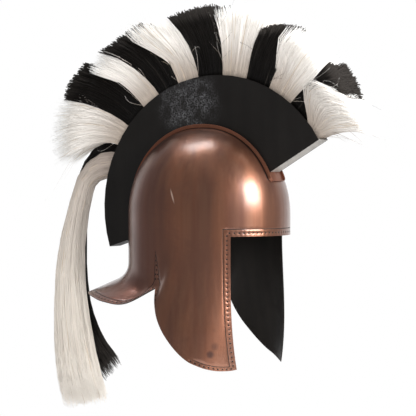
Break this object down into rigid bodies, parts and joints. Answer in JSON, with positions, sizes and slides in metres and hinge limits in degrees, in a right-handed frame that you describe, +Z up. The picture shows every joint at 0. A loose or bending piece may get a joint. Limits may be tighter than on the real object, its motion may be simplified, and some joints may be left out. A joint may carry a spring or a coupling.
{
  "type": "greek helmet with a crest of hair",
  "caption": "Copper-finished sheet steel helmet with long cheek plates, flared neck guard and a tall black box crest holding black and white hair tufts and a tail",
  "frame": {"origin": "inside of the dome at its highest point, where the crown of a head meets it", "axes": "+Z up, the face opening looks along -Y, the wearer's left is +X"},
  "size_m": [0.2256, 0.4765, 0.551],
  "materials": {
    "copper_finish": "antiqued copper plating on steel sheet, satin, blackened on the inside",
    "black_sheet": "blackened sheet steel, satin, mottled",
    "white_hair": "straight off-white horsehair, matt with a soft sheen",
    "black_hair": "straight black horsehair"
  },
  "bodies": {
    "root": {"helmet_shell": "copper_finish", "crest_channel": "copper_finish", "crest_plate_right": "black_sheet", "crest_plate_left": "black_sheet", "crest_cap_front": "black_sheet", "crest_cap_rear": "black_sheet", "tuft_01_white": "white_hair", "tuft_02_black": "black_hair", "tuft_03_white": "white_hair", "tuft_04_black": "black_hair", "tuft_05_white": "white_hair", "tuft_06_black": "black_hair", "tuft_07_white": "white_hair", "tuft_08_black": "black_hair", "tuft_09_white": "white_hair", "tuft_10_black": "black_hair", "tuft_11_white": "white_hair", "tail_black": "black_hair", "tail_white": "white_hair"}
  },
  "joints": []
}
